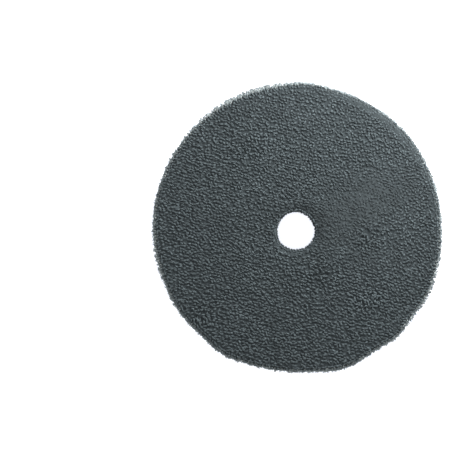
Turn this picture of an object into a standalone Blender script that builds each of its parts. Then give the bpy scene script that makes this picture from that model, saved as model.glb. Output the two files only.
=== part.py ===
"""Round polishing pad: a microfibre face on a tapered foam core, with a hook-and-loop backing.

The pad lies on its backing. The origin is at the centre of the backing's outer face, and +Z points
towards the working face. The layers are bonded one on another, so each is a ring around the same axis.
The foam core gives under pressure, and everything above it then moves straight down by a few millimetres.
"""

import math

import bmesh
import bpy

MM = 0.001
LAYER_GAP = 0.3 * MM

# Diameters of the bonded stack.
FACE_DIAMETER = 160.0 * MM
BACK_DIAMETER = 150.0 * MM
HOLE_DIAMETER = 21.0 * MM

# Thickness of each layer, from the back up.
BACKING_THICKNESS = 1.4 * MM
FILM_THICKNESS = 0.25 * MM
FOAM_THICKNESS = 20.5 * MM
CLOTH_THICKNESS = 0.8 * MM
PILE_HEIGHT = 3.5 * MM

# How far the layers stay inside the cut edges. A film stops short of the rim and of the hole.
BACK_FILM_INSET = 1.5 * MM
FACE_FILM_INSET = 3.0 * MM
HOLE_FILM_INSET = 1.5 * MM
FOAM_INSET = 0.2 * MM
CLOTH_INSET = 0.5 * MM

# How each layer's edges are rounded.
BACKING_EDGE_ROUND = 0.5 * MM
FOAM_SHOULDER_IN = 0.9 * MM
FOAM_SHOULDER_DEPTH = 4.0 * MM
FOAM_HOLE_EASE = 0.4 * MM
PILE_RIM_IN = 2.8 * MM
PILE_HOLE_IN = 1.2 * MM
PILE_HOLE_CREEP = 0.2 * MM

TURN_STEPS = 96
ARC_STEPS = 4
MERGE_WITHIN = 0.01 * MM

# Linear colour and roughness of each layer.
BACKING_BLACK = ((0.004, 0.005, 0.006), 0.95)
FILM_AMBER = ((0.55, 0.5, 0.36), 0.35)
FOAM_BLUE = ((0.003, 0.13, 0.48), 0.9)
CLOTH_WHITE = ((0.72, 0.74, 0.76), 0.9)
PILE_GREY = ((0.07, 0.086, 0.092), 0.95)

FACE_RADIUS = FACE_DIAMETER / 2
BACK_RADIUS = BACK_DIAMETER / 2
HOLE_RADIUS = HOLE_DIAMETER / 2


def clear_scene():
    for old in list(bpy.data.objects):
        bpy.data.objects.remove(old, do_unlink=True)


def make_material(name, colour, roughness):
    material = bpy.data.materials.new(name)
    material.use_nodes = True
    shader = material.node_tree.nodes["Principled BSDF"]
    shader.inputs["Base Color"].default_value = (*colour, 1.0)
    shader.inputs["Roughness"].default_value = roughness
    shader.inputs["Metallic"].default_value = 0.0
    return material


def arc(centre, across, up, start, end):
    """Points along an ellipse's arc between two angles, in degrees from the outward direction."""
    points = []
    for step in range(ARC_STEPS + 1):
        angle = math.radians(start + (end - start) * step / ARC_STEPS)
        points.append((centre[0] + across * math.cos(angle), centre[1] + up * math.sin(angle)))
    return points


def turned_ring(name, section, underside, finish):
    """A ring turned about Z from a closed section of (radius, height), which runs down its outer side."""
    mesh = bpy.data.meshes.new(name)
    shape = bmesh.new()
    corners = [shape.verts.new((radius, 0.0, height)) for radius, height in section]
    for first, second in zip(corners, corners[1:] + corners[:1]):
        shape.edges.new((first, second))
    shape.to_mesh(mesh)
    shape.free()
    mesh.materials.append(make_material(name + "_finish", *finish))

    ring = bpy.data.objects.new(name, mesh)
    ring.location.z = underside
    bpy.context.scene.collection.objects.link(ring)

    turn = ring.modifiers.new("Turn", "SCREW")
    turn.angle = 2.0 * math.pi
    turn.steps = TURN_STEPS
    turn.render_steps = TURN_STEPS
    turn.use_merge_vertices = True
    turn.merge_threshold = MERGE_WITHIN
    turn.use_smooth_shade = True


def flat_section(outer, inner, thickness):
    return [(outer, thickness), (outer, 0.0), (inner, 0.0), (inner, thickness)]


def backing_section():
    """Loop fabric that lies flat, its two lower edges a little rounded by the die that cut it."""
    ease = BACKING_EDGE_ROUND
    rim_edge = arc((BACK_RADIUS - ease, ease), ease, ease, 0, -90)
    hole_edge = arc((HOLE_RADIUS + ease, ease), ease, ease, -90, -180)
    top_corners = [(BACK_RADIUS, BACKING_THICKNESS), (HOLE_RADIUS, BACKING_THICKNESS)]
    return [top_corners[0], *rim_edge, *hole_edge, top_corners[1]]


def foam_section():
    """The core is widest at a round shoulder under the face, and tapers straight to the back."""
    widest = FACE_RADIUS - FOAM_INSET
    shoulder_centre = (widest - FOAM_SHOULDER_IN, FOAM_THICKNESS - FOAM_SHOULDER_DEPTH)
    shoulder = arc(shoulder_centre, FOAM_SHOULDER_IN, FOAM_SHOULDER_DEPTH, 90, 0)
    return [
        *shoulder,
        (BACK_RADIUS, 0.0),
        (HOLE_RADIUS + FOAM_HOLE_EASE, 0.0),
        (HOLE_RADIUS, FOAM_HOLE_EASE),
        (HOLE_RADIUS, FOAM_THICKNESS - FOAM_HOLE_EASE),
        (HOLE_RADIUS + FOAM_HOLE_EASE, FOAM_THICKNESS),
    ]


def pile_section():
    """The outer shape of the loops, which round over at the rim and creep a little into the hole."""
    hole = HOLE_RADIUS - PILE_HOLE_CREEP
    rim_side = arc((FACE_RADIUS - PILE_RIM_IN, 0.0), PILE_RIM_IN, PILE_HEIGHT, 90, 0)
    hole_side = arc((hole + PILE_HOLE_IN, 0.0), PILE_HOLE_IN, PILE_HEIGHT, 180, 90)
    return [*rim_side, *hole_side]


def build_pad():
    """Each layer stands on the one before it, with the gap that touching solids keep."""
    film_hole = HOLE_RADIUS + HOLE_FILM_INSET
    back_film = flat_section(BACK_RADIUS - BACK_FILM_INSET, film_hole, FILM_THICKNESS)
    face_film = flat_section(FACE_RADIUS - FACE_FILM_INSET, film_hole, FILM_THICKNESS)
    cloth = flat_section(FACE_RADIUS - CLOTH_INSET, HOLE_RADIUS, CLOTH_THICKNESS)
    layers = [
        ("loop_backing", backing_section(), BACKING_THICKNESS, BACKING_BLACK),
        ("backing_adhesive", back_film, FILM_THICKNESS, FILM_AMBER),
        ("foam_core", foam_section(), FOAM_THICKNESS, FOAM_BLUE),
        ("face_adhesive", face_film, FILM_THICKNESS, FILM_AMBER),
        ("ground_cloth", cloth, CLOTH_THICKNESS, CLOTH_WHITE),
        ("microfibre_pile", pile_section(), PILE_HEIGHT, PILE_GREY),
    ]
    underside = 0.0
    for name, section, thickness, finish in layers:
        turned_ring(name, section, underside, finish)
        underside += thickness + LAYER_GAP


def main():
    clear_scene()
    build_pad()


main()
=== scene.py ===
"""Looks of a round polishing pad: microfibre loops on a white ground cloth, a blue foam core and a black
loop backing, all built around the packed solids. Lengths are in metres."""

import math

import bpy
import numpy as np
from mathutils import Matrix, Vector, noise


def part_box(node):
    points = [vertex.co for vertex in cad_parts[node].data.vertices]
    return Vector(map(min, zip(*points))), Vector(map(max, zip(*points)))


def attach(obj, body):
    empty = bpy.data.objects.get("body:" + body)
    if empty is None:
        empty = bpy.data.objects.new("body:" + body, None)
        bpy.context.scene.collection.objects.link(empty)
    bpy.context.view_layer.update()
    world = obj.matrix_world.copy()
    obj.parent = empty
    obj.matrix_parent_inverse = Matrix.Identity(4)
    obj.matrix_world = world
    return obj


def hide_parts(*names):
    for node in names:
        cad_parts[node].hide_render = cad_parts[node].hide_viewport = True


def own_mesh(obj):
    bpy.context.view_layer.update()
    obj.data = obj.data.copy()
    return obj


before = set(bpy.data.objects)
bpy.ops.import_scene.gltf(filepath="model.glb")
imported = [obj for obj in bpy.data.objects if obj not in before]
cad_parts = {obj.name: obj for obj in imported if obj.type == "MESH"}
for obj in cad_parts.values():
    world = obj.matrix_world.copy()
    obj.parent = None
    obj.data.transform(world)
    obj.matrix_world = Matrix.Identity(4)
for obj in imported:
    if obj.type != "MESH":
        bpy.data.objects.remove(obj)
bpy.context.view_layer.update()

bl_info = {
    "name": "Polishing pad",
    "version": (1, 0, 0),
    "blender": (4, 5, 0),
    "location": "3D View > Sidebar > Pad",
    "description": "Builds a microfibre and foam polishing pad layer by layer",
    "category": "Add Mesh",
}

MM = 0.001
PLATE_SIDE = "plate_side"
PAINT_SIDE = "paint_side"
TURN = 2.0 * math.pi
WHITE = (1.0, 1.0, 1.0)

# How finely loops and strands are built.
LOOP_STEPS = 5
STITCH_STEPS = 7
FIBRE_STEPS = 6
YARN_SIDES = 5
FIBRE_SIDES = 3

# Where the rim was trimmed unevenly: direction in degrees, height, and half width in degrees.
TRIM_BULGES = (
    (40, 0.5 * MM, 12),
    (87, 1.0 * MM, 7),
    (196, -0.8 * MM, 13),
    (227, -0.5 * MM, 6),
    (240, 1.0 * MM, 7),
    (265, -0.8 * MM, 18),
    (290, 1.85 * MM, 9.5),
    (314, 1.6 * MM, 6),
    (335, 0.95 * MM, 9),
    (353, 0.5 * MM, 6),
)
# Where the rim is shaggy: direction in degrees, share, and half width in degrees.
LOOSE = ((112, 0.95, 22), (334, 0.6, 15), (192, 0.4, 10))


def smallest_radius(node):
    """How near a packed ring comes to the pad's axis, which is the radius of its hole."""
    return min(math.hypot(v.co.x, v.co.y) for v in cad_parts[node].data.vertices)


_, BACKING_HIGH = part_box("loop_backing")
_, FOAM_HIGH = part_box("foam_core")
CLOTH_LOW, CLOTH_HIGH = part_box("ground_cloth")
PILE_LOW, PILE_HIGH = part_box("microfibre_pile")
_, BACK_FILM_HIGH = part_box("backing_adhesive")
FACE_FILM_LOW, FACE_FILM_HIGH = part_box("face_adhesive")
HOLE_RADIUS = smallest_radius("foam_core")
FILM_HOLE_RADIUS = smallest_radius("face_adhesive")


# ---------------------------------------------------------------------------------------------
# Sizes and colours that a user would change


class PadOutline(bpy.types.PropertyGroup):
    """How the cut edges stray from true circles."""

    off_centre: bpy.props.FloatProperty(
        name="Off centre",
        description="How far the face was trimmed off the centre of the hole",
        default=1.0 * MM,
        unit="LENGTH",
    )
    off_centre_towards: bpy.props.FloatProperty(
        name="Towards",
        description="Direction of that offset, turned anticlockwise from +X",
        default=math.radians(59.0),
        subtype="ANGLE",
    )
    bulge_share: bpy.props.FloatProperty(
        name="Bulges",
        description="How much of the bulges that hand trimming left is kept",
        default=1.0,
        subtype="FACTOR",
    )
    hole_waver: bpy.props.FloatProperty(
        name="Hole waver",
        description="How far the pile round the hole strays from its circle",
        default=0.35 * MM,
        unit="LENGTH",
    )


class PileLook(bpy.types.PropertyGroup):
    """The microfibre loops on the face."""

    pitch: bpy.props.FloatProperty(
        name="Loop pitch",
        description="Distance between neighbouring loops",
        default=1.84 * MM,
        unit="LENGTH",
    )
    loop_length: bpy.props.FloatProperty(
        name="Loop length",
        description="Length of a loop's crown along the nap",
        default=2.0 * MM,
        unit="LENGTH",
    )
    loop_width: bpy.props.FloatProperty(
        name="Loop width",
        description="Thickness of a loop's yarn",
        default=0.92 * MM,
        unit="LENGTH",
    )
    loop_height: bpy.props.FloatProperty(
        name="Loop height",
        description="Height of a loop's crown over the roots",
        default=0.72 * MM,
        unit="LENGTH",
    )
    nap: bpy.props.FloatProperty(
        name="Nap",
        description="Main direction in which the loops lie, turned anticlockwise from +X",
        default=math.radians(-17.0),
        subtype="ANGLE",
    )
    crown_colour: bpy.props.FloatVectorProperty(
        name="Crowns",
        description="Colour of the loops' crowns",
        default=(0.0755, 0.0935, 0.0995),
        subtype="COLOR",
        size=3,
    )
    # Painted shade: the loops darken towards this colour at their roots, and the bed of roots takes it, in
    # place of the shade deep between the loops.
    root_shade_colour: bpy.props.FloatVectorProperty(
        name="Roots",
        description="Colour deep between the loops",
        default=(0.048, 0.0605, 0.065),
        subtype="COLOR",
        size=3,
    )
    tuft_colour: bpy.props.FloatVectorProperty(
        name="Cut tufts",
        description="Colour of the cut tufts that stand out at the rim",
        default=(0.118, 0.147, 0.158),
        subtype="COLOR",
        size=3,
    )
    tuft_root_colour: bpy.props.FloatVectorProperty(
        name="Tuft roots",
        description="Colour of the cut tufts where they meet the white cloth",
        default=(0.4, 0.43, 0.425),
        subtype="COLOR",
        size=3,
    )
    seed: bpy.props.IntProperty(
        name="Seed", description="Which random arrangement the loops take", default=11
    )


class ClothLook(bpy.types.PropertyGroup):
    """The white ground cloth that the loops are knitted through."""

    colour: bpy.props.FloatVectorProperty(
        name="Cloth",
        description="Colour of the ground cloth",
        default=(0.78, 0.8, 0.82),
        subtype="COLOR",
        size=3,
    )
    rib_pitch: bpy.props.FloatProperty(
        name="Rib pitch",
        description="Distance between the knitted ribs along the cut edge",
        default=1.3 * MM,
        unit="LENGTH",
    )
    fray_count: bpy.props.IntProperty(
        name="Frayed fibres", description="How many loose fibres stand out of the cut edge", default=420
    )
    seed: bpy.props.IntProperty(
        name="Seed", description="Which random arrangement the fibres take", default=23
    )


class FoamLook(bpy.types.PropertyGroup):
    """The foam core."""

    colour: bpy.props.FloatVectorProperty(
        name="Foam",
        description="Colour of the foam's cell walls",
        default=(0.0012, 0.105, 0.37),
        subtype="COLOR",
        size=3,
    )
    # Painted shade: the pits of the cells take this darker colour in place of the shade inside them.
    pore_shade_colour: bpy.props.FloatVectorProperty(
        name="Pores",
        description="Colour inside the open cells",
        default=(0.0006, 0.05, 0.2),
        subtype="COLOR",
        size=3,
    )
    cell: bpy.props.FloatProperty(
        name="Cell size",
        description="Width of one foam cell",
        default=0.42 * MM,
        unit="LENGTH",
    )


class BackingLook(bpy.types.PropertyGroup):
    """The loop fabric on the back."""

    colour: bpy.props.FloatVectorProperty(
        name="Backing",
        description="Colour of the brushed loops",
        default=(0.0065, 0.007, 0.009),
        subtype="COLOR",
        size=3,
    )
    pitch: bpy.props.FloatProperty(
        name="Nap pitch",
        description="Distance between neighbouring loops of the nap",
        default=2.0 * MM,
        unit="LENGTH",
    )
    seed: bpy.props.IntProperty(
        name="Seed", description="Which random arrangement the nap takes", default=37
    )


class StageLook(bpy.types.PropertyGroup):
    """Floor, light and camera."""

    floor_colour: bpy.props.FloatVectorProperty(
        name="Floor",
        description="Colour of the pale floor",
        default=(0.9, 0.9, 0.9),
        subtype="COLOR",
        size=3,
    )
    floor_glow: bpy.props.FloatProperty(
        name="Floor glow", description="Light that the floor gives off, like a light table", default=0.8
    )
    air_light: bpy.props.FloatProperty(
        name="Air light", description="Strength of the soft light from the whole ceiling", default=0.55
    )
    front_light: bpy.props.FloatProperty(
        name="Front light", description="Strength of the light that falls straight on the face", default=0.5
    )
    window_light: bpy.props.FloatProperty(
        name="Window light",
        description="Power of the soft light from the upper right",
        default=2.1,
        unit="POWER",
    )
    camera_height: bpy.props.FloatProperty(
        name="Camera height",
        description="Distance from the camera to the pad's face",
        default=3.0,
        unit="LENGTH",
    )
    pad_share: bpy.props.FloatProperty(
        name="Pad share",
        description="Share of the picture's width that the pad's face takes",
        default=0.642,
        subtype="FACTOR",
    )
    pad_right: bpy.props.FloatProperty(
        name="Pad right of centre",
        description="How far the pad stands right of the picture's centre, as a share of its width",
        default=0.155,
        subtype="FACTOR",
    )
    pad_down: bpy.props.FloatProperty(
        name="Pad below centre",
        description="How far the pad stands below the picture's centre, as a share of its width",
        default=0.0097,
        subtype="FACTOR",
    )


# ---------------------------------------------------------------------------------------------
# Mesh building


def add_piece(mesh, material):
    """Gives a mesh its material and puts it in the scene, as an object of the same name."""
    mesh.materials.append(material)
    piece = bpy.data.objects.new(mesh.name, mesh)
    bpy.context.scene.collection.objects.link(piece)
    return piece


def mesh_from_arrays(name, points, faces_by_size):
    """A mesh from a point array and, for each face size, an array of faces."""
    mesh = bpy.data.meshes.new(name)
    corner_count = sum(faces.size for faces in faces_by_size)
    face_sizes = np.concatenate([np.full(len(faces), faces.shape[1]) for faces in faces_by_size])
    starts = np.concatenate([[0], np.cumsum(face_sizes)[:-1]])
    mesh.vertices.add(len(points))
    mesh.vertices.foreach_set("co", points.astype(np.float32).ravel())
    mesh.loops.add(corner_count)
    mesh.loops.foreach_set(
        "vertex_index", np.concatenate([faces.ravel() for faces in faces_by_size]).astype(np.int32)
    )
    mesh.polygons.add(len(face_sizes))
    mesh.polygons.foreach_set("loop_start", starts.astype(np.int32))
    mesh.polygons.foreach_set("loop_total", face_sizes.astype(np.int32))
    mesh.update(calc_edges=True)
    mesh.shade_smooth()
    return mesh


def mesh_points(mesh):
    points = np.empty(3 * len(mesh.vertices), np.float32)
    mesh.vertices.foreach_get("co", points)
    return points.reshape(-1, 3)


def set_mesh_points(mesh, points):
    mesh.vertices.foreach_set("co", points.astype(np.float32).ravel())
    mesh.update()


def add_point_values(mesh, name, values):
    attribute = mesh.attributes.new(name, "FLOAT", "POINT")
    attribute.data.foreach_set("value", values.astype(np.float32).ravel())


def unit(vectors):
    smallest = 1e-12
    return vectors / np.maximum(np.linalg.norm(vectors, axis=-1, keepdims=True), smallest)


def directions(angle):
    """A level unit vector for each angle about the axis."""
    return np.stack([np.cos(angle), np.sin(angle), np.zeros_like(angle)], axis=1)


def quarter_turned(vectors):
    """Level vectors turned a quarter anticlockwise."""
    return np.stack([-vectors[:, 1], vectors[:, 0], vectors[:, 2]], axis=1)


def upright(count):
    return np.tile([0.0, 0.0, 1.0], (count, 1))


def square_to(vectors, normals):
    """The unit vectors nearest to vectors that stand square to normals."""
    return unit(vectors - normals * (vectors * normals).sum(1, keepdims=True))


def strand_mesh(name, lines, normals, half_widths, sides, tips, tones):
    """Many short closed strands in one mesh.

    lines is (strands, steps, 3), normals (strands, 3), half_widths and tips (strands, steps), tones
    (strands,). The mesh stores tip, 1 at a strand's free crown and 0 at its root, tone, one number for
    each strand, and along and around, the place on the yarn's surface in millimetres."""
    count, steps, _ = lines.shape
    forward = unit(np.gradient(lines, axis=1))
    side = unit(np.cross(normals[:, None, :], forward))
    up = np.cross(forward, side)
    turns = -0.25 * TURN + TURN * (np.arange(sides) + 0.5) / sides
    outward = (
        side[:, :, None, :] * np.cos(turns)[None, None, :, None]
        + up[:, :, None, :] * np.sin(turns)[None, None, :, None]
    )
    points = lines[:, :, None, :] + outward * half_widths[:, :, None, None]

    first = (np.arange(count) * steps * sides)[:, None, None]
    ring_start = first + (np.arange(steps - 1) * sides)[None, :, None]
    spot = np.arange(sides)[None, None, :]
    after = (np.arange(sides)[None, None, :] + 1) % sides
    near, next_one = ring_start + spot, ring_start + after
    walls = np.stack([near, next_one, next_one + sides, near + sides], axis=-1).reshape(-1, 4)
    ring = np.arange(sides)[None, :]
    start_caps = first[:, 0] + ring[:, ::-1]
    end_caps = first[:, 0] + (steps - 1) * sides + ring
    mesh = mesh_from_arrays(name, points.reshape(-1, 3), [walls, np.concatenate([start_caps, end_caps])])

    spans = np.linalg.norm(np.diff(lines, axis=1), axis=2)
    along = np.concatenate([np.zeros((count, 1)), np.cumsum(spans, axis=1)], axis=1) / MM
    around = (np.arange(sides) + 0.5) / sides * TURN * half_widths.mean() / MM
    every = (count, steps, sides)
    # tip drives the yarn's blend from root colour to crown colour; on the pile's loops that blend is
    # painted shade at the roots.
    add_point_values(mesh, "tip", np.broadcast_to(tips[:, :, None], every))
    add_point_values(mesh, "tone", np.broadcast_to(tones[:, None, None], every))
    add_point_values(mesh, "along", np.broadcast_to(along[:, :, None], every))
    add_point_values(mesh, "around", np.broadcast_to(around[None, None, :], every))
    return mesh


def arch_lines(spots, normals, headings, lengths, heights, bows, steps):
    """Centre lines of loops: each rises from its root, crowns, and goes down again along its heading."""
    t = np.linspace(-1.0, 1.0, steps)
    crown = 1.0 - t**2
    across = np.cross(normals, headings)
    lines = (
        spots[:, None, :]
        + headings[:, None, :] * (lengths / 2)[:, None, None] * t[None, :, None]
        + normals[:, None, :] * heights[:, None, None] * crown[None, :, None]
        + across[:, None, :] * bows[:, None, None] * crown[None, :, None]
    )
    return lines, np.broadcast_to(crown, (len(spots), steps))


def turned_mesh(name, section, steps, warp):
    """A closed ring turned about Z from a section of (radius, height) points, with each point moved by
    warp(angle, radius, height), which gives its new radius and height."""
    angles = TURN * np.arange(steps) / steps
    radius, height = np.array(section).T
    radii, heights = warp(angles[:, None], radius[None, :], height[None, :])
    x, y = radii * np.cos(angles)[:, None], radii * np.sin(angles)[:, None]
    points = np.stack([x, y, np.broadcast_to(heights, radii.shape)], axis=-1)
    count = len(section)
    here = (np.arange(steps) * count)[:, None]
    ahead = ((np.arange(steps) + 1) % steps * count)[:, None]
    spot = np.arange(count)[None, :]
    after = (spot + 1) % count
    faces = np.stack([here + spot, here + after, ahead + after, ahead + spot], axis=-1).reshape(-1, 4)
    return mesh_from_arrays(name, points.reshape(-1, 3), [faces])


def split_sides(line, longest):
    """The same open line with points added so that no side is longer than longest."""
    points = []
    for (r0, z0), (r1, z1) in zip(line, line[1:]):
        pieces = max(1, math.ceil(math.hypot(r1 - r0, z1 - z0) / longest))
        points += [(r0 + (r1 - r0) * i / pieces, z0 + (z1 - z0) * i / pieces) for i in range(pieces)]
    return [*points, line[-1]]


def arc_points(centre, across, up, start, end, steps):
    turns = [math.radians(start + (end - start) * i / steps) for i in range(steps + 1)]
    return [(centre[0] + across * math.cos(a), centre[1] + up * math.sin(a)) for a in turns]


def quarter_arc(centre, radius, start):
    """A quarter circle about its centre, clockwise from a start in degrees."""
    return arc_points(centre, radius, radius, start, start - 90, 3)


def closed_section(line, longest):
    """A closed section from a line of corners, with no side longer than longest."""
    return split_sides([*line, line[0]], longest)[:-1]


def roughen(mesh, size, depth, seed):
    """Moves each point along its normal by smooth noise."""
    offset = Vector((seed * 7.3, seed * 3.1, seed * 5.7))
    normals = [v.normal.copy() for v in mesh.vertices]
    for vertex, normal in zip(mesh.vertices, normals):
        vertex.co += normal * depth * noise.noise(vertex.co / size + offset)
    mesh.update()


def angular_bell(angle, centre, half_width):
    """A smooth bump round the rim: 1 at its centre and near 0 beyond two half widths, in degrees."""
    away = np.degrees(np.angle(np.exp(1j * (angle - math.radians(centre)))))
    return np.exp(-((away / half_width) ** 2))


def edge_stray(outline, angle):
    """How far the cut edge stands outside its true circle, at an angle about the axis."""
    stray = outline.off_centre * np.cos(angle - outline.off_centre_towards)
    for centre, height, half_width in TRIM_BULGES:
        stray = stray + outline.bulge_share * height * angular_bell(angle, centre, half_width)
    return stray


def hole_stray(outline, angle):
    """How far the pile round the hole stands outside its true circle."""
    low_left = np.cos(angle - math.radians(240))
    corners = 0.5 * np.cos(3 * (angle - math.radians(218)))
    return outline.hole_waver * (low_left + corners)


def strayed_radius(outline, angle, radius, rim_follows=1.0):
    """A true circle's radius, moved with the trimmed rim near the edge and with the hole beside it."""
    steady_to, rim_reach = 60 * MM, 12 * MM
    steady_from, hole_reach = 20 * MM, 8 * MM
    near_rim = np.clip((radius - steady_to) / rim_reach, 0.0, 1.0) * rim_follows
    near_hole = np.clip((steady_from - radius) / hole_reach, 0.0, 1.0)
    return radius + near_rim * edge_stray(outline, angle) + near_hole * hole_stray(outline, angle)


def looseness(angle):
    """How freely the rim's yarns stand out: 1 where the edge is shaggy, 0 where it was cut clean."""
    everywhere = 0.12
    shaggy = sum(share * angular_bell(angle, centre, width) for centre, share, width in LOOSE)
    return np.clip(everywhere + shaggy, 0, 1)


def hex_spots(pitch, turn, reach, jitter, rng):
    """Places on a plane in staggered rows, each moved a little at random."""
    row_pitch = pitch * math.sqrt(3.0) / 2.0
    rows = int(reach / row_pitch) + 2
    columns = int(reach / pitch) + 2
    row, column = np.mgrid[-rows : rows + 1, -columns : columns + 1]
    x = (column + 0.5 * (row % 2)) * pitch
    y = row * row_pitch
    x, y = x.ravel(), y.ravel()
    x = x + rng.normal(0.0, jitter, x.shape)
    y = y + rng.normal(0.0, jitter, y.shape)
    return x * math.cos(turn) - y * math.sin(turn), x * math.sin(turn) + y * math.cos(turn)


# ---------------------------------------------------------------------------------------------
# Materials


def feed(tree, socket, value):
    """Links a socket to another one, or sets it to a number or a colour."""
    if isinstance(value, bpy.types.NodeSocket):
        tree.links.new(value, socket)
    elif isinstance(value, (int, float)):
        socket.default_value = value
    else:
        socket.default_value = (*value, 1.0)


def add_node(tree, kind, inputs, **settings):
    """A shader node with its settings and its inputs, which are fed by name or by number."""
    node = tree.nodes.new(kind)
    for name, value in settings.items():
        setattr(node, name, value)
    for name, value in inputs.items():
        feed(tree, node.inputs[name], value)
    return node


def new_material(name, roughness, sheen=0.0, sheen_tint=WHITE, specular=0.25):
    material = bpy.data.materials.new(name)
    material.use_nodes = True
    tree = material.node_tree
    shader = tree.nodes["Principled BSDF"]
    finish = {"Roughness": roughness, "Specular IOR Level": specular}
    finish.update({"Sheen Weight": sheen, "Sheen Roughness": 0.4, "Sheen Tint": sheen_tint})
    for socket, value in finish.items():
        feed(tree, shader.inputs[socket], value)
    return material, tree, shader


def place_node(tree):
    return tree.nodes.new("ShaderNodeTexCoord").outputs["Object"]


def noise_node(tree, where, size, detail=2.0, roughness=0.5):
    inputs = {"Vector": where, "Scale": 1.0 / size, "Detail": detail, "Roughness": roughness}
    return add_node(tree, "ShaderNodeTexNoise", inputs).outputs["Fac"]


def cell_node(tree, where, size):
    inputs = {"Vector": where, "Scale": 1.0 / size}
    return add_node(tree, "ShaderNodeTexVoronoi", inputs, feature="F1").outputs["Distance"]


def value_node(tree, name):
    return add_node(tree, "ShaderNodeAttribute", {}, attribute_name=name).outputs["Fac"]


def range_node(tree, value, low, high, to_low=0.0, to_high=1.0):
    inputs = {"Value": value, "From Min": low, "From Max": high, "To Min": to_low, "To Max": to_high}
    return add_node(tree, "ShaderNodeMapRange", inputs).outputs["Result"]


def spread_node(tree, noise_value, to_low, to_high):
    """Stretches a noise, whose values mostly lie between 0.3 and 0.7, over a range."""
    return range_node(tree, noise_value, 0.3, 0.7, to_low, to_high)


def math_node(tree, operation, first, second):
    inputs = {0: first, 1: second}
    return add_node(tree, "ShaderNodeMath", inputs, operation=operation).outputs["Value"]


def mix_colours(tree, share, first, second):
    """A blend of two colours, either of which may be a socket."""
    inputs = {"Factor": share, 6: first, 7: second}
    return add_node(tree, "ShaderNodeMix", inputs, data_type="RGBA").outputs[2]


def shade_colour(tree, colour, strength):
    """A colour made lighter or darker by a factor that is a socket."""
    inputs = {0: colour, "Scale": strength}
    return add_node(tree, "ShaderNodeVectorMath", inputs, operation="SCALE").outputs["Vector"]


def set_surface(tree, shader, colour, relief, depth):
    """Gives a surface its colour and its fine relief, whose height from 0 to 1 stands for a depth."""
    bump = add_node(tree, "ShaderNodeBump", {"Height": relief, "Distance": depth})
    feed(tree, shader.inputs["Base Color"], colour)
    feed(tree, shader.inputs["Normal"], bump.outputs["Normal"])


def filament_height(tree, fineness):
    """Fine streaks that run along a strand, read from its along and around values. Its tone moves it
    far enough through the noise that its streaks differ from its neighbours'."""
    stretches = {"along": 0.9, "around": fineness, "tone": 37.0}
    axes = [math_node(tree, "MULTIPLY", value_node(tree, name), stretches[name]) for name in stretches]
    place = add_node(tree, "ShaderNodeCombineXYZ", dict(zip("XYZ", axes))).outputs["Vector"]
    return noise_node(tree, place, 1.0, detail=1.5)


def yarn_material(name, crown, root, fineness=9.0, tone_spread=0.55):
    """Yarn made of fine filaments: dark at its root, lighter at its crown, each strand its own tone. On the
    pile's loops the dark roots are painted shade between the loops.
    """
    material, tree, shader = new_material(name, 0.85, sheen=0.12, sheen_tint=(0.8, 0.92, 1.0))
    place = place_node(tree)
    # Painted shade on the pile's loops: the colour runs from the root colour to the crown colour as tip
    # rises.
    body = mix_colours(tree, range_node(tree, value_node(tree, "tip"), 0.15, 1.0), root, crown)
    drift = spread_node(tree, noise_node(tree, place, 14 * MM, detail=3.0), 0.88, 1.12)
    fleck = spread_node(tree, noise_node(tree, place, 0.55 * MM), 0.7, 1.3)
    streak = filament_height(tree, fineness)
    lines = spread_node(tree, streak, 0.8, 1.2)
    tone = range_node(tree, value_node(tree, "tone"), -1.0, 1.0, 1.0 - tone_spread, 1.0 + tone_spread)
    strength = math_node(tree, "MULTIPLY", math_node(tree, "MULTIPLY", drift, fleck), tone)
    strength = math_node(tree, "MULTIPLY", strength, lines)
    set_surface(tree, shader, shade_colour(tree, body, strength), streak, 0.08 * MM)
    return material


def root_material(name, deep, high, pressed):
    """The felted bed of yarn roots under the loops, in dark colours that are painted shade between the
    loops, more even and a little lighter where the pile is pressed flat, which lifts that painted shade.
    """
    material, tree, shader = new_material(name, 0.95)
    place = place_node(tree)
    felt = noise_node(tree, place, 0.7 * MM, detail=3.0)
    bed = mix_colours(tree, range_node(tree, felt, 0.35, 0.7), deep, high)
    # Where the pile is pressed flat, the bed's painted shade gives way to the pressed colour.
    body = mix_colours(tree, value_node(tree, "pressed_shade_lift"), bed, pressed)
    set_surface(tree, shader, body, felt, 0.3 * MM)
    return material


def foam_material(name, wall, pore_shade, cell):
    """Fine open-cell foam: cell walls round darker pores, whose darkness is painted shade in the cells'
    pits, slightly mottled and pitted by its cells.
    """
    material, tree, shader = new_material(name, 0.95, specular=0.06)
    place = place_node(tree)
    pits = range_node(tree, cell_node(tree, place, cell), 0.0, 0.65, 1.0, 0.0)
    grain = noise_node(tree, place, 0.9 * cell, detail=4.0, roughness=0.65)
    mottle = spread_node(tree, noise_node(tree, place, 1.1 * MM, detail=3.0), 0.76, 1.22)
    speck = spread_node(tree, grain, 0.0, 1.0)
    # Painted shade: the pits are darkened towards the pore colour.
    body = mix_colours(tree, math_node(tree, "MULTIPLY", pits, speck), wall, pore_shade)
    relief = math_node(tree, "SUBTRACT", grain, math_node(tree, "MULTIPLY", pits, 0.6))
    set_surface(tree, shader, shade_colour(tree, body, mottle), relief, 0.22 * MM)
    return material


def cloth_material(name, colour, yarn_size, shadow=0.55):
    """Knitted cloth seen from its cut edge: bright yarns with shaded gaps."""
    material, tree, shader = new_material(name, 0.9, sheen=0.2)
    place = place_node(tree)
    knit = cell_node(tree, place, yarn_size)
    fibre = noise_node(tree, place, 0.18 * MM, detail=3.0)
    gap = range_node(tree, knit, 0.1, 0.8)
    body = mix_colours(tree, gap, colour, [c * shadow for c in colour])
    strength = spread_node(tree, fibre, 0.85, 1.1)
    relief = math_node(tree, "SUBTRACT", fibre, knit)
    set_surface(tree, shader, shade_colour(tree, body, strength), relief, 0.25 * MM)
    return material


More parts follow.
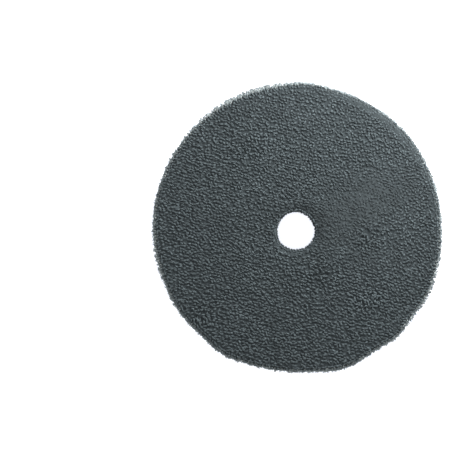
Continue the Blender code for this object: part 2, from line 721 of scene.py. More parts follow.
def film_material(name, colour):
    """Hot-melt film with the cell marks of the foam that it was pressed into."""
    material, tree, shader = new_material(name, 0.4)
    place = place_node(tree)
    marks = noise_node(tree, place, 0.8 * MM, detail=2.0)
    body = mix_colours(tree, spread_node(tree, marks, 0.0, 1.0), colour, [c * 0.7 for c in colour])
    feed(tree, shader.inputs["Roughness"], spread_node(tree, marks, 0.3, 0.55))
    set_surface(tree, shader, body, marks, 0.05 * MM)
    return material


def floor_material(name, colour, glow):
    """Matt seamless paper, lit a little from below."""
    material, tree, shader = new_material(name, 0.9)
    tooth = noise_node(tree, place_node(tree), 2 * MM)
    dimmer = [0.98 * c for c in colour]
    body = mix_colours(tree, spread_node(tree, tooth, 0.0, 1.0), colour, dimmer)
    for socket, value in (("Base Color", body), ("Emission Color", WHITE), ("Emission Strength", glow)):
        feed(tree, shader.inputs[socket], value)
    return material


# ---------------------------------------------------------------------------------------------
# The nap of the face


def bell(x, y, centre, widths, turn=0.0):
    """A smooth patch: 1 at its centre, falling to 0 over its widths, turned by an angle."""
    dx, dy = x - centre[0], y - centre[1]
    along = dx * math.cos(turn) + dy * math.sin(turn)
    across = -dx * math.sin(turn) + dy * math.cos(turn)
    return np.exp(-((along / widths[0]) ** 2) - (across / widths[1]) ** 2)


def swept_share(x, y):
    """Where a hand has smoothed the pile flat: beside the hole, towards the upper right."""
    beside_hole = bell(x, y, (27 * MM, 8 * MM), (24 * MM, 15 * MM), math.radians(28))
    outer = bell(x, y, (47 * MM, 21 * MM), (17 * MM, 11 * MM), math.radians(30))
    lower = bell(x, y, (42 * MM, -16 * MM), (18 * MM, 6 * MM), math.radians(-10))
    return np.clip(beside_hole + 0.7 * outer + 0.5 * lower, 0.0, 1.0)


def hole_dip(x, y):
    """How far the face sinks towards the hole, most of all above it."""
    radius, angle = np.hypot(x, y), np.arctan2(y, x)
    depth = (0.55 + 0.45 * np.cos(angle - math.radians(70))) * MM
    return depth * np.exp(-(((radius - HOLE_RADIUS) / (5.0 * MM)) ** 2))


def furrows(x, y):
    """Faint arcs that a turning finger drew beside the hole: crests are 1 and hollows are -1."""
    round_centre = np.hypot(x - 24 * MM, y - 1 * MM)
    share = bell(x, y, (8 * MM, 15 * MM), (11 * MM, 7 * MM), math.radians(35))
    return share * np.sin(TURN * round_centre / (3.1 * MM))


def combed_and_painted_light_share(x, y):
    """Where the outermost loops are combed smooth, a narrow band along the upper right of the rim. It also
    carries painted light: it lifts the painted shade at the roots, lightens the face's loops a little and
    darkens the rim's loops with painted shade.
    """
    radius, angle = np.hypot(x, y), np.arctan2(y, x)
    return angular_bell(angle, 50, 30) * np.clip((radius - 75.0 * MM) / (2.5 * MM), 0.0, 1.0)


def ruffled_share(x, y):
    """Where the loops have been pulled up and stand in disorder."""
    patches = (
        ((41 * MM, -39 * MM), (7 * MM, 5 * MM), 1.0),
        ((39 * MM, -4 * MM), (6 * MM, 5 * MM), 1.0),
        ((14 * MM, -24 * MM), (9 * MM, 5 * MM), 0.6),
        ((-54 * MM, -48 * MM), (8 * MM, 6 * MM), 0.9),
        ((-22 * MM, 46 * MM), (12 * MM, 6 * MM), 0.4),
    )
    total = np.zeros_like(x)
    for centre, widths, strength in patches:
        total = total + strength * bell(x, y, centre, widths, math.radians(25))
    return np.clip(total, 0.0, 1.0)


def upper_right_share(x, y):
    """Where the loops stand closest to upright and look like dots."""
    return 1.0 / (1.0 + np.exp(-(0.6 * x + 0.8 * y - 22 * MM) / (9 * MM)))


def drift(x, y):
    """The courses of the knit waver a little as the cloth was stretched on."""
    across = 0.9 * MM * np.sin(x / (11 * MM) + y / (17 * MM) + 1.3) + 0.5 * MM * np.sin(y / (7 * MM))
    upward = 0.8 * MM * np.sin(x / (14 * MM) - y / (21 * MM)) + 0.5 * MM * np.sin(x / (6.5 * MM) + 0.6)
    return x + across, y + upward


def nap_angles(pile, x, y, rng):
    """The direction in which each loop lies: combed along the courses, less so towards the upper
    right, and drawn round the hole where the pile is swept."""
    dotted = upper_right_share(x, y)
    leaning = pile.nap - math.radians(7.0) * x / (70 * MM)
    angle = leaning + rng.normal(0.0, 1.0, x.shape) * (math.radians(24.0) + math.radians(20.0) * dotted)
    round_hole = np.arctan2(y, x) + 0.25 * TURN
    swept = 0.35 * swept_share(x, y)
    # Directions have no sign, so they are blended as doubled angles.
    share = np.stack([1.0 - swept, swept], -1)
    east = share[..., 0] * np.cos(2 * angle) + share[..., 1] * np.cos(2 * round_hole)
    north = share[..., 0] * np.sin(2 * angle) + share[..., 1] * np.sin(2 * round_hole)
    angle = np.arctan2(north, east) / 2.0
    disorder = math.radians(50.0) * ruffled_share(x, y) + math.radians(22.0) * swept_share(x, y)
    return angle + rng.normal(0.0, 1.0, x.shape) * disorder


# ---------------------------------------------------------------------------------------------
# Operators, one for each piece or group of like pieces


class PAD_OT_build_stage(bpy.types.Operator):
    """Make the floor, the soft light and the camera straight above the face"""

    bl_idname = "pad.build_stage"
    bl_label = "Stage"

    floor_half_side = 6.0
    floor_below = 0.05 * MM
    front_place = (0.0, 0.0, 2.0)
    front_width = math.radians(6.0)
    window_place = (0.13, 0.22, 0.2)
    window_sides = (0.24, 0.14)
    # Between these heights of a view direction the walls turn into the ceiling.
    wall_top, ceiling_edge = 0.12, 0.6

    def execute(self, context):
        look = context.scene.pad_stage
        scene = context.scene
        scene.view_settings.view_transform = "Standard"
        self.make_floor(look)
        self.make_light(scene, look)
        self.make_camera(scene, look)
        return {"FINISHED"}

    def make_floor(self, look):
        half = self.floor_half_side
        corners = np.array([(-half, -half, 0), (half, -half, 0), (half, half, 0), (-half, half, 0)], float)
        mesh = mesh_from_arrays("floor", corners, [np.array([[0, 1, 2, 3]])])
        floor = add_piece(mesh, floor_material("floor_paper", look.floor_colour, look.floor_glow))
        floor.location.z = -self.floor_below

    def make_light(self, scene, look):
        scene.world = self.make_air(look)
        front = bpy.data.lights.new("front_light", "SUN")
        front.energy = look.front_light
        front.angle = self.front_width
        window = bpy.data.lights.new("window_light", "AREA")
        window.shape = "RECTANGLE"
        window.size, window.size_y = self.window_sides
        window.energy = look.window_light
        for lamp, place in ((front, self.front_place), (window, self.window_place)):
            holder = bpy.data.objects.new(lamp.name, lamp)
            holder.location = place
            holder.rotation_euler = Vector(place).to_track_quat("Z", "Y").to_euler()
            scene.collection.objects.link(holder)

    def make_air(self, look):
        """A white studio: bright walls at the height of the pad, a dimmer ceiling over it."""
        world = bpy.data.worlds.new("studio_air")
        world.use_nodes = True
        tree = world.node_tree
        background = tree.nodes["Background"]
        direction = tree.nodes.new("ShaderNodeTexCoord").outputs["Generated"]
        split = add_node(tree, "ShaderNodeSeparateXYZ", {"Vector": direction})
        rise = range_node(tree, split.outputs["Z"], self.wall_top, self.ceiling_edge)
        feed(tree, background.inputs["Strength"], 1.0)
        feed(tree, background.inputs["Color"], mix_colours(tree, rise, WHITE, [look.air_light] * 3))
        return world

    def make_camera(self, scene, look):
        face = Vector((0.0, 0.0, PILE_HIGH.z))
        picture_width = 2 * PILE_HIGH.x / look.pad_share
        aim = face + Vector((-look.pad_right * picture_width, look.pad_down * picture_width, 0.0))
        place = face + Vector((0.0, 0.0, look.camera_height))
        forward = (aim - place).normalized()
        right = forward.cross(Vector((0.0, 1.0, 0.0))).normalized()
        up = right.cross(forward)
        lens = bpy.data.cameras.new("camera")
        lens.lens = lens.sensor_width * (aim - place).length / picture_width
        lens.clip_end = 100.0
        camera = bpy.data.objects.new("camera", lens)
        camera.location = place
        camera.rotation_euler = Matrix((right, up, -forward)).transposed().to_euler()
        scene.collection.objects.link(camera)
        scene.camera = camera


class PAD_OT_build_backing(bpy.types.Operator):
    """Make the black backing cloth and the brushed loops of its nap"""

    bl_idname = "pad.build_backing"
    bl_label = "Loop backing"

    steps_round = 360
    nap_depth = 0.45 * MM
    nap_inset = 1.2 * MM
    nap_jitter = 0.35 * MM

    def execute(self, context):
        look = context.scene.pad_backing
        outline = context.scene.pad_outline
        cloth = self.make_cloth(look, outline)
        nap = self.make_nap(look)
        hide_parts("loop_backing")
        for piece in (cloth, nap):
            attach(piece, PLATE_SIDE)
        return {"FINISHED"}

    def make_cloth(self, look, outline):
        low, high = self.nap_depth, BACKING_HIGH.z
        outer, inner = BACKING_HIGH.x, HOLE_RADIUS + 0.5 * MM
        ease = 0.3 * MM
        line = [
            *quarter_arc((outer - ease, high - ease), ease, 90),
            *quarter_arc((outer - ease, low + ease), ease, 0),
            *quarter_arc((inner + ease, low + ease), ease, -90),
            *quarter_arc((inner + ease, high - ease), ease, 180),
        ]
        section = closed_section(line, 2.0 * MM)

        def knit(angle, radius, height):
            rib = 0.12 * MM * np.sin(240 * angle) * (radius > outer - MM)
            return strayed_radius(outline, angle, radius, 0.0) + rib, height

        mesh = turned_mesh("loop_backing_cloth", section, self.steps_round, knit)
        roughen(mesh, 1.3 * MM, 0.12 * MM, look.seed)
        return add_piece(mesh, cloth_material("backing_knit", look.colour, 0.7 * MM))

    def make_nap(self, look):
        rng = np.random.default_rng(look.seed)
        x, y = hex_spots(look.pitch, 0.0, BACKING_HIGH.x, self.nap_jitter, rng)
        radius = np.hypot(x, y)
        inside = (radius > HOLE_RADIUS + self.nap_inset) & (radius < BACKING_HIGH.x - self.nap_inset)
        x, y = x[inside], y[inside]
        count = len(x)
        spots = np.stack([x, y, np.full(count, self.nap_depth + 0.12 * MM)], axis=1)
        down = np.tile([0.0, 0.0, -1.0], (count, 1))
        heading = rng.uniform(0.0, TURN, count)
        headings = directions(heading)
        lengths = rng.uniform(1.9, 3.0, count) * MM
        heights = rng.uniform(0.25, 0.4, count) * MM
        bows = rng.normal(0.0, 0.45, count) * MM
        lines, tips = arch_lines(spots, down, headings, lengths, heights, bows, LOOP_STEPS)
        widths = np.full(tips.shape, 0.14 * MM)
        tones = rng.uniform(-1, 1, count)
        mesh = strand_mesh("loop_backing_nap", lines, down, widths, FIBRE_SIDES, tips, tones)
        crown = [2.2 * c for c in look.colour]
        return add_piece(mesh, yarn_material("backing_nap_yarn", crown, look.colour))


class PAD_OT_build_foam(bpy.types.Operator):
    """Make the tapered foam core with its round shoulder and the wall of the hole"""

    bl_idname = "pad.build_foam"
    bl_label = "Foam core"

    steps_round = 640
    shoulder_in = 0.9 * MM
    shoulder_depth = 4.4 * MM
    hole_ease = 0.4 * MM
    rim_inset = 0.45 * MM
    hole_inset = 0.45 * MM
    film_clearance = 0.3 * MM
    # Size, depth and seed of each scale of unevenness.
    pits = ((6.0 * MM, 0.3 * MM, 3), (1.6 * MM, 0.1 * MM, 4), (0.8 * MM, 0.12 * MM, 5))

    def execute(self, context):
        look = context.scene.pad_foam
        outline = context.scene.pad_outline
        self.low, self.high = BACKING_HIGH.z + 0.05 * MM, CLOTH_LOW.z - 0.15 * MM
        # The recesses that keep the foam clear of the two films, which keep to true circles.
        self.face_film = FACE_FILM_HIGH.x + self.film_clearance
        self.back_film = BACK_FILM_HIGH.x + self.film_clearance
        self.film_hole = FILM_HOLE_RADIUS - self.film_clearance
        self.recess_top, self.recess_floor = FACE_FILM_LOW.z - 0.2 * MM, BACK_FILM_HIGH.z + 0.1 * MM
        mesh = turned_mesh("foam", self.section(), self.steps_round, self.warp(outline))
        placed = mesh_points(mesh)
        for size, depth, seed in self.pits:
            roughen(mesh, size, depth, seed)
        self.keep_recesses(mesh, placed)
        foam = add_piece(mesh, foam_material("blue_foam", look.colour, look.pore_shade_colour, look.cell))
        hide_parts("foam_core")
        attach(foam, PLATE_SIDE)
        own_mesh(foam)
        return {"FINISHED"}

    def section(self):
        """The foam meets the cloths at the rim and at the hole, and is a little lower over the films."""
        low, high = self.low, self.high
        widest = FOAM_HIGH.x - self.rim_inset
        bottom = BACKING_HIGH.x
        hole = HOLE_RADIUS + self.hole_inset
        shoulder_centre = (widest - self.shoulder_in, high - self.shoulder_depth)
        side = [
            *arc_points(shoulder_centre, self.shoulder_in, self.shoulder_depth, 90, 0, 8),
            (bottom + 0.15 * MM, low + 0.5 * MM),
            (bottom - 0.2 * MM, low),
        ]
        under = [
            (self.back_film, low),
            (self.back_film, self.recess_floor),
            (self.film_hole, self.recess_floor),
            (self.film_hole, low),
        ]
        wall = [
            (hole + 0.2 * MM, low),
            (hole, low + self.hole_ease),
            (hole, high - self.hole_ease),
            (hole + 0.2 * MM, high),
        ]
        over = [
            (self.film_hole, high),
            (self.film_hole, self.recess_top),
            (self.face_film, self.recess_top),
            (self.face_film, high),
        ]
        fine, coarse = 0.6 * MM, 5.0 * MM
        return [
            *split_sides(side, fine),
            *split_sides([side[-1], *under, wall[0]], coarse)[1:-1],
            *split_sides(wall, fine),
            *split_sides([wall[-1], *over, side[0]], coarse)[1:-1],
        ]

    def in_recess(self, radius, height):
        """Whether a point belongs to the hidden flats that face the films."""
        slack = 0.05 * MM
        above = (height > self.recess_top - slack) & (radius < self.face_film + slack)
        below = (height < self.recess_floor + slack) & (radius < self.back_film + slack)
        return (above | below) & (radius > self.film_hole - slack)

    def warp(self, outline):
        """The rim follows the cut edge of the face, less and less towards the back."""

        def moved(angle, radius, height):
            raised = np.clip((height - self.low) / (0.7 * (self.high - self.low)), 0.0, 1.0)
            strayed = strayed_radius(outline, angle, radius, 0.15 + 0.85 * raised)
            beside_film = (height > self.recess_top) & (radius > self.face_film)
            strayed = np.where(beside_film, np.maximum(strayed, self.face_film + 0.1 * MM), strayed)
            return np.where(self.in_recess(radius, height), radius, strayed), height

        return moved

    def keep_recesses(self, mesh, placed):
        """Puts the hidden flats back in place, and keeps the rest between the two cloths."""
        hidden = self.in_recess(np.hypot(placed[:, 0], placed[:, 1]), placed[:, 2])
        points = np.where(hidden[:, None], placed, mesh_points(mesh))
        points[:, 2] = np.clip(points[:, 2], self.low, self.high)
        set_mesh_points(mesh, points)


class PAD_OT_build_ground_cloth(bpy.types.Operator):
    """Make the white ground cloth with its ribbed cut edge and the fibres that fray from it"""

    bl_idname = "pad.build_ground_cloth"
    bl_label = "Ground cloth"

    # How far the cloth, the roots of its stitches and those of its fray stay inside its packed rim.
    edge_inset, stitch_inset, fray_inset = 0.1 * MM, 0.7 * MM, 0.4 * MM
    # Directions in degrees of the wisps, how wide they spread, and the share of fibres that join them.
    wisps = (226, 100, 318, 172)
    wisp_spread = 0.025
    gathered_share = 0.3

    def execute(self, context):
        look = context.scene.pad_cloth
        outline = context.scene.pad_outline
        cloth = self.make_cloth(look, outline)
        trimmings = [self.make_stitches(look, outline), self.make_fray(look, outline)]
        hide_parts("ground_cloth")
        for piece in (cloth, *trimmings):
            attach(piece, PAINT_SIDE)
        return {"FINISHED"}

    def make_cloth(self, look, outline):
        low, high = CLOTH_LOW.z - 0.1 * MM, PILE_LOW.z + 0.1 * MM
        ease = 0.4 * MM
        outer, inner = CLOTH_HIGH.x - self.edge_inset, HOLE_RADIUS + ease
        line = [
            *quarter_arc((outer - ease, high - ease), ease, 90),
            *quarter_arc((outer - ease, low + ease), ease, 0),
            (inner, low),
            (inner, high),
        ]
        section = closed_section(line, 4.0 * MM)
        ribs = round(TURN * outer / look.rib_pitch)

        def knit(angle, radius, height):
            ribbed = 1.5 * MM
            at_edge = np.clip((radius - (outer - ribbed)) / ribbed, 0.0, 1.0)
            rib = 0.16 * MM * np.abs(np.sin(ribs * angle / 2)) * at_edge
            wave = 0.12 * MM * np.sin(11 * angle + 1.0) * at_edge
            return strayed_radius(outline, angle, radius) + rib, height + wave * (height > low + ease)

        mesh = turned_mesh("ground_cloth_knit", section, 2 * ribs, knit)
        return add_piece(mesh, cloth_material("white_knit", look.colour, 0.6 * MM))

    def make_stitches(self, look, outline):
        """White ground yarn that shows between the roots of the outermost grey loops."""
        rng = np.random.default_rng(look.seed)
        count = round(TURN * CLOTH_HIGH.x / look.rib_pitch)
        angle = TURN * (np.arange(count) + rng.normal(0.0, 0.12, count)) / count
        radius = CLOTH_HIGH.x - self.stitch_inset + edge_stray(outline, angle)
        outward = directions(angle)
        sideways = quarter_turned(outward)
        up = upright(count)
        spots = outward * radius[:, None] + up * (PILE_LOW.z - 0.15 * MM)
        normals = unit(up + outward * rng.normal(0.15, 0.12, count)[:, None])
        headings = unit(sideways + 0.3 * outward * rng.normal(0.0, 1.0, count)[:, None])
        headings = square_to(headings, normals)
        lengths = rng.uniform(0.5, 0.9, count) * MM
        heights = rng.uniform(1.0, 1.9, count) * MM
        lines, tips = arch_lines(spots, normals, headings, lengths, heights, np.zeros(count), STITCH_STEPS)
        half = np.full(tips.shape, 0.17 * MM)
        tones = rng.uniform(-0.5, 0.5, count)
        mesh = strand_mesh("ground_cloth_stitches", lines, outward, half, YARN_SIDES, tips, tones)
        crown = [0.55 * c for c in look.colour]
        yarn = yarn_material("white_yarn", crown, look.colour, fineness=6.0, tone_spread=0.3)
        return add_piece(mesh, yarn)

    def make_fray(self, look, outline):
        """Loose fibres stand out of the cut edge and curl. Some hang together in little wisps."""
        rng = np.random.default_rng(look.seed)
        count = look.fray_count
        angle = rng.uniform(0.0, TURN, count)
        gathered = rng.random(count) < self.gathered_share
        wisp = rng.choice(np.radians(self.wisps), count) + rng.normal(0, self.wisp_spread, count)
        angle = np.where(gathered, wisp, angle)
        radius = CLOTH_HIGH.x - self.fray_inset + edge_stray(outline, angle)
        height = rng.uniform(CLOTH_LOW.z + 0.15 * MM, CLOTH_HIGH.z - 0.05 * MM, count)
        outward = directions(angle)
        sideways = quarter_turned(outward)
        up = upright(count)
        start = outward * radius[:, None] + up * height[:, None]
        reach = (0.45 + rng.gamma(1.4, 0.32, count)) * MM * np.where(gathered, 1.6, 1.0)
        lean = rng.normal(0.0, 0.9, count)
        droop = rng.normal(-0.25, 0.35, count)
        curl = rng.normal(0.0, 0.5, count)
        t = np.linspace(0.0, 1.0, FIBRE_STEPS)[None, :, None]
        lines = start[:, None, :] + reach[:, None, None] * (
            outward[:, None, :] * (t - 0.35 * t**2)
            + sideways[:, None, :] * (lean[:, None, None] * t + curl[:, None, None] * t**2)
            + up[:, None, :] * droop[:, None, None] * t**2
        )
        tips = np.broadcast_to(t[:, :, 0], (count, FIBRE_STEPS))
        widths = 0.05 * MM * (1.0 - 0.5 * tips)
        tones = rng.uniform(-0.5, 0.5, count)
        mesh = strand_mesh("ground_cloth_fray", lines, up, widths, FIBRE_SIDES, tips, tones)
        root = [0.8 * c for c in look.colour]
        fibre = yarn_material("white_fibre", look.colour, root, fineness=4.0, tone_spread=0.2)
        return add_piece(mesh, fibre)


class PAD_OT_build_pile(bpy.types.Operator):
    """Make the bed of roots, the loops of the face, its rim and its hole, and the tufts at the rim"""

    bl_idname = "pad.build_pile"
    bl_label = "Microfibre pile"

    steps_round = 420
    # The bed of roots: how deep it lies under the loops, how far inside the rim, and its roundings.
    root_depth = 0.3 * MM
    root_inset = 0.5 * MM
    hole_inset = 0.2 * MM
    rim_round = 3.6 * MM
    hole_round = 2.4 * MM
    # Slopes in degrees of the rows of loops on the roundings.
    rim_slopes = (22.0, 46.0)
    side_slopes = (58.0, 71.0)
    hole_slopes = (35.0, 75.0)
    tuft_count = 2400

    def execute(self, context):
        look = context.scene.pad_pile
        outline = context.scene.pad_outline
        rng = np.random.default_rng(look.seed)
        self.root_top = PILE_HIGH.z - look.loop_height - self.root_depth
        self.root_rise = self.root_top - PILE_LOW.z
        self.root_rim = PILE_HIGH.x - self.root_inset
        self.root_hole = HOLE_RADIUS + self.hole_inset
        # The face's yarn darkens towards its roots with painted shade.
        yarn = yarn_material("grey_microfibre", look.crown_colour, look.root_shade_colour)
        tuft_yarn = yarn_material("grey_cut_tufts", look.tuft_colour, look.tuft_root_colour)
        side_crown = [1.6 * c for c in look.crown_colour]
        side_yarn = yarn_material("grey_side_loops", side_crown, look.tuft_root_colour)
        roots = self.make_roots(look, outline)
        pieces = [
            roots,
            *self.make_face_loops(look, outline, rng, yarn),
            *self.make_rim_loops(look, outline, rng, yarn, side_yarn),
            self.make_hole_loops(look, outline, rng, yarn),
            self.make_rim_tufts(outline, rng, tuft_yarn),
        ]
        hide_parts("microfibre_pile")
        for piece in pieces:
            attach(piece, PAINT_SIDE)
        return {"FINISHED"}

    def make_roots(self, look, outline):
        base = PILE_LOW.z
        rim_centre = (self.root_rim - self.rim_round, base)
        hole_centre = (self.root_hole + self.hole_round, base)
        line = [
            *arc_points(rim_centre, self.rim_round, self.root_rise, 90, 0, 6),
            *arc_points(hole_centre, self.hole_round, self.root_rise, 180, 90, 4),
        ]
        section = closed_section(line, 1.2 * MM)

        def moved(angle, radius, height):
            return strayed_radius(outline, angle, radius), height

        mesh = turned_mesh("pile_roots", section, self.steps_round, moved)
        roughen(mesh, 1.1 * MM, 0.35 * MM, look.seed)
        points = mesh_points(mesh)
        x, y, z = points.T
        flat = np.clip(swept_share(x, y) + combed_and_painted_light_share(x, y), 0.0, 1.0)
        on_top = np.clip((z - base) / self.root_rise, 0.0, 1.0) ** 2
        lift = 0.55 * MM * flat - hole_dip(x, y) - 0.35 * MM * ruffled_share(x, y)
        points[:, 2] = np.maximum(z + on_top * lift, base)
        set_mesh_points(mesh, points)
        # Where pressed flat, the bed's painted shade is lifted.
        add_point_values(mesh, "pressed_shade_lift", 0.85 * flat)
        # Painted shade: the bed takes the root colour and half of it, and a colour nearer the crowns' where
        # pressed flat.
        deep = look.root_shade_colour
        pressed = [0.55 * c for c in look.crown_colour]
        return add_piece(mesh, root_material("grey_roots", [0.5 * c for c in deep], deep, pressed))

    def loops_piece(self, name, spots, normals, headings, sizes, rng, yarn, pressed_shade_lift=0.0, lightness=0.0):
        """Loops of two-ply yarn. sizes holds their lengths, heights and widths. The flatter a loop was
        pressed, the less painted shade darkens its roots. lightness shifts its tone."""
        lengths, heights, widths = sizes
        bows = rng.normal(0.0, 0.1, len(spots)) * lengths
        lines, crown = arch_lines(spots, normals, headings, lengths, heights, bows, LOOP_STEPS)
        across = np.cross(normals, headings)
        start = rng.uniform(0.0, TURN, len(spots))
        twist = start[:, None] + 0.45 * TURN * np.linspace(0.0, 1.0, LOOP_STEPS)[None, :]
        apart = 0.27 * widths[:, None, None] * (
            across[:, None, :] * np.cos(twist)[:, :, None] + normals[:, None, :] * np.sin(twist)[:, :, None]
        )
        plies = np.concatenate([lines + apart, lines - apart])
        half = 0.31 * widths[:, None] * (0.6 + 0.4 * crown)
        # Where pressed flat, the painted shade at the roots is lifted towards the crown colour.
        tips = crown + (1.0 - crown) * np.broadcast_to(pressed_shade_lift, len(spots))[:, None]
        tones = rng.normal(0.0, 0.24, len(spots)) * (1 - 0.5 * pressed_shade_lift) + lightness
        tones = np.clip(tones, -1.0, 1.0)
        twice = [np.concatenate([part, part]) for part in (normals, half, tips, tones)]
        mesh = strand_mesh(name, plies, twice[0], twice[1], YARN_SIDES, twice[2], twice[3])
        return add_piece(mesh, yarn)

    def make_face_loops(self, look, outline, rng, yarn):
        """The field of loops, in three pieces of like size that take the loops in turn."""
        x, y = hex_spots(look.pitch, look.nap, PILE_HIGH.x + 4 * MM, 0.19 * look.pitch, rng)
        x, y = drift(x, y)
        radius, angle = np.hypot(x, y), np.arctan2(y, x)
        rim = self.root_rim - self.rim_round + 0.6 * MM + edge_stray(outline, angle)
        hole = self.root_hole + self.hole_round - 0.6 * MM + hole_stray(outline, angle)
        gap = rng.random(len(x)) < 0.12 * ruffled_share(x, y)
        inside = (radius < rim) & (radius > hole) & ~gap
        x, y = x[inside], y[inside]
        count = len(x)
        swept, ruffled, combed = swept_share(x, y), ruffled_share(x, y), combed_and_painted_light_share(x, y)
        dotted = upper_right_share(x, y)
        angle = nap_angles(look, x, y, rng)
        headings = directions(angle)
        upward = upright(count)
        lean = rng.normal(0.0, 1.0, (count, 3)) * (0.13 * (1 - 0.7 * swept) + 0.42 * ruffled)[:, None]
        to_hole = -np.stack([x, y, np.zeros(count)], axis=1) / np.maximum(radius[inside], MM)[:, None]
        upward = unit(upward + lean + to_hole * (0.45 * hole_dip(x, y) / MM)[:, None])
        headings = square_to(headings, upward)
        rise = 1 - 0.6 * swept - 0.5 * combed + 1.1 * ruffled
        sizes = (
            look.loop_length * rng.normal(1.0, 0.12, count) * (1 - 0.15 * dotted),
            look.loop_height * rng.normal(1.0, 0.14, count) * rise,
            look.loop_width * rng.normal(1.0, 0.08, count) * (1 + 0.12 * swept),
        )
        level = self.root_top - 0.05 * MM + 0.5 * MM * swept - hole_dip(x, y) + 0.2 * MM * furrows(x, y)
        spots = np.stack([x, y, level], axis=1)
        # Tone shifts: darker where swept, painted shade where the face dips above the hole, lighter where
        # ruffled, and painted light in the combed band.
        lightness = -0.75 * swept - 0.9 * hole_dip(x, y) / MM + 0.4 * ruffled + 0.1 * combed
        # How far the painted shade at the roots is lifted where the pile is swept or combed.
        pressed_shade_lift = np.clip(0.85 * swept + 0.8 * combed, 0.0, 1.0)
        made = []
        for turn, letter in enumerate("abc"):
            part = np.arange(count) % 3 == turn
            name = "pile_loops_" + letter
            own = [values[part] for values in (spots, upward, headings)]
            own.append([size[part] for size in sizes])
            made.append(self.loops_piece(name, *own, rng, yarn, pressed_shade_lift[part], lightness[part]))
        return made

    def edge_rows(self, edge_radius, round_in, outward_sign, slopes, pitch, rng):
        """Places in rows round a rounded edge, each with the edge's normal, its downhill direction and
        its angle about the axis."""
        spots, normals, downhill, angles = [], [], [], []
        for slope in slopes:
            turn = math.radians(slope)
            radius = edge_radius - outward_sign * round_in * (1.0 - math.sin(turn))
            count = round(TURN * radius / pitch)
            angle = TURN * (np.arange(count) + rng.uniform()) / count
            angle = angle + rng.normal(0, 0.12, count) * pitch / radius
            out = directions(angle) * outward_sign
            up = upright(count)
            lean = math.atan2(math.sin(turn) / round_in, math.cos(turn) / self.root_rise)
            normals.append(unit(out * math.sin(lean) + up * math.cos(lean)))
            downhill.append(unit(out * math.cos(lean) - up * math.sin(lean)))
            height = PILE_LOW.z + self.root_rise * math.cos(turn) + rng.normal(0, 0.1, count) * MM
            spots.append(np.stack([radius * np.cos(angle), radius * np.sin(angle), height], axis=1))
            angles.append(angle)
        return [np.concatenate(parts) for parts in (spots, normals, downhill, angles)]

    def make_rim_loops(self, look, outline, rng, yarn, side_yarn):
        """Rows of loops over the rounded rim. Where it was cut clean the upper ones lie along it, and
        towards the upper right they are darkened with painted shade while the painted shade at their roots
        is lifted. The steep ones hang down the side."""
        made = []
        for name, slopes, steepness, own_yarn in (
            ("pile_rim_loops", self.rim_slopes, 0.0, yarn),
            ("pile_side_loops", self.side_slopes, 1.0, side_yarn),
        ):
            spots, normals, downhill, angles = self.edge_rows(
                self.root_rim, self.rim_round, 1.0, slopes, (0.9 - 0.2 * steepness) * look.pitch, rng
            )
            count = len(spots)
            out = directions(angles)
            spots = spots + out * edge_stray(outline, angles)[:, None]
            loose = looseness(angles)
            combed = combed_and_painted_light_share(*spots[:, :2].T)
            turn = (1.0 - loose) * (1.0 - steepness) * math.radians(80.0)
            turn = turn + rng.normal(0.0, math.radians(24.0), count)
            along_rim = np.cross(normals, downhill)
            headings = downhill * np.cos(turn)[:, None] + along_rim * np.sin(turn)[:, None]
            sizes = (
                look.loop_length * rng.normal(0.95, 0.12, count) * (1 + 0.25 * steepness),
                look.loop_height * rng.normal(0.85, 0.1, count) * (0.85 + 0.3 * loose - 0.25 * steepness),
                look.loop_width * rng.normal(0.92, 0.08, count) * (1 - 0.25 * steepness),
            )
            own = (spots, normals, headings, sizes, rng, own_yarn)
            # Painted shade darkens the rim's loops in the combed band; shaggy loops are lighter.
            lightness = 0.25 * loose - 0.35 * combed
            made.append(self.loops_piece(name, *own, 0.5 * combed, lightness))
        return made

    def make_hole_loops(self, look, outline, rng, yarn):
        spots, normals, downhill, angles = self.edge_rows(
            self.root_hole, self.hole_round, -1.0, self.hole_slopes, 0.85 * look.pitch, rng
        )
        count = len(spots)
        out = directions(angles)
        spots = spots + out * hole_stray(outline, angles)[:, None]
        turn = math.radians(70.0) + rng.normal(0.0, math.radians(20.0), count)
        along_rim = np.cross(normals, downhill)
        headings = downhill * np.cos(turn)[:, None] + along_rim * np.sin(turn)[:, None]
        sizes = (
            look.loop_length * rng.normal(0.85, 0.1, count),
            look.loop_height * rng.normal(0.6, 0.08, count),
            look.loop_width * rng.normal(0.8, 0.08, count),
        )
        return self.loops_piece("pile_hole_loops", spots, normals, headings, sizes, rng, yarn)

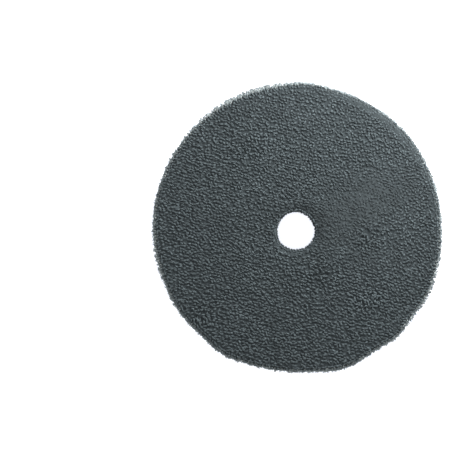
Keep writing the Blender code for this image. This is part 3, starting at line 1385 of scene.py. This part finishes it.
    def make_rim_tufts(self, outline, rng, yarn):
        """Cut yarn ends that stand out of the rim, most of them where it is shaggy."""
        angle = rng.uniform(0.0, TURN, self.tuft_count)
        loose = looseness(angle)
        kept = rng.random(self.tuft_count) < 0.04 + 0.96 * loose
        angle, loose = angle[kept], loose[kept]
        count = len(angle)
        slope = np.radians(rng.uniform(50.0, 88.0, count))
        radius = self.root_rim - self.rim_round * (1.0 - np.sin(slope)) + edge_stray(outline, angle)
        out = directions(angle)
        sideways = quarter_turned(out)
        up = upright(count)
        start = out * radius[:, None] + up * (PILE_LOW.z + self.root_rise * np.cos(slope))[:, None]
        reach = (1.2 + 1.25 * loose * rng.uniform(0.1, 1.0, count)) * MM
        swing = rng.normal(0.0, 0.4, count)
        lift = 0.5 * np.cos(slope) + rng.normal(0.05, 0.25, count)
        t = np.linspace(0.0, 1.0, LOOP_STEPS)[None, :, None]
        lines = start[:, None, :] + reach[:, None, None] * (
            out[:, None, :] * t
            + sideways[:, None, :] * swing[:, None, None] * t**1.5
            + up[:, None, :] * lift[:, None, None] * (t - 0.5 * t**2)
        )
        thickness = rng.uniform(0.3, 0.52, count)[:, None] * MM
        tips = np.broadcast_to(t[:, :, 0], (count, LOOP_STEPS))
        half = thickness * (1.0 - 0.75 * tips**1.4)
        tones = np.clip(rng.normal(0.0, 0.35, count), -1.0, 1.0)
        mesh = strand_mesh("pile_rim_tufts", lines, up, half, YARN_SIDES, tips, tones)
        return add_piece(mesh, yarn)


class PAD_OT_finish_films(bpy.types.Operator):
    """Give the two adhesive films, which stay as packed, their hot-melt finish"""

    bl_idname = "pad.finish_films"
    bl_label = "Adhesive films"

    film_colour = (0.55, 0.5, 0.36)

    def execute(self, context):
        material = film_material("hot_melt_film", self.film_colour)
        for node in ("backing_adhesive", "face_adhesive"):
            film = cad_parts[node]
            film.data.materials.clear()
            film.data.materials.append(material)
        return {"FINISHED"}


# ---------------------------------------------------------------------------------------------
# Panel and registration

STEPS = (
    PAD_OT_build_stage,
    PAD_OT_build_backing,
    PAD_OT_build_foam,
    PAD_OT_build_ground_cloth,
    PAD_OT_build_pile,
    PAD_OT_finish_films,
)
LOOKS = (
    ("pad_outline", PadOutline),
    ("pad_pile", PileLook),
    ("pad_cloth", ClothLook),
    ("pad_foam", FoamLook),
    ("pad_backing", BackingLook),
    ("pad_stage", StageLook),
)


class PAD_PT_panel(bpy.types.Panel):
    """Sizes, colours and building steps of the pad"""

    bl_idname = "PAD_PT_panel"
    bl_label = "Polishing pad"
    bl_space_type = "VIEW_3D"
    bl_region_type = "UI"
    bl_category = "Pad"

    def draw(self, context):
        for operator in STEPS:
            self.layout.operator(operator.bl_idname)
        for name, group in LOOKS:
            box = self.layout.box()
            box.label(text=group.__doc__)
            for key in group.__annotations__:
                box.prop(getattr(context.scene, name), key)


def register():
    for name, group in LOOKS:
        bpy.utils.register_class(group)
        setattr(bpy.types.Scene, name, bpy.props.PointerProperty(type=group))
    for operator in STEPS:
        bpy.utils.register_class(operator)
    bpy.utils.register_class(PAD_PT_panel)


def unregister():
    bpy.utils.unregister_class(PAD_PT_panel)
    for operator in reversed(STEPS):
        bpy.utils.unregister_class(operator)
    for name, group in reversed(LOOKS):
        delattr(bpy.types.Scene, name)
        bpy.utils.unregister_class(group)


def main():
    register()
    bpy.ops.pad.build_stage()
    bpy.ops.pad.build_backing()
    bpy.ops.pad.build_foam()
    bpy.ops.pad.build_ground_cloth()
    bpy.ops.pad.build_pile()
    bpy.ops.pad.finish_films()


if __name__ == "__main__":
    main()
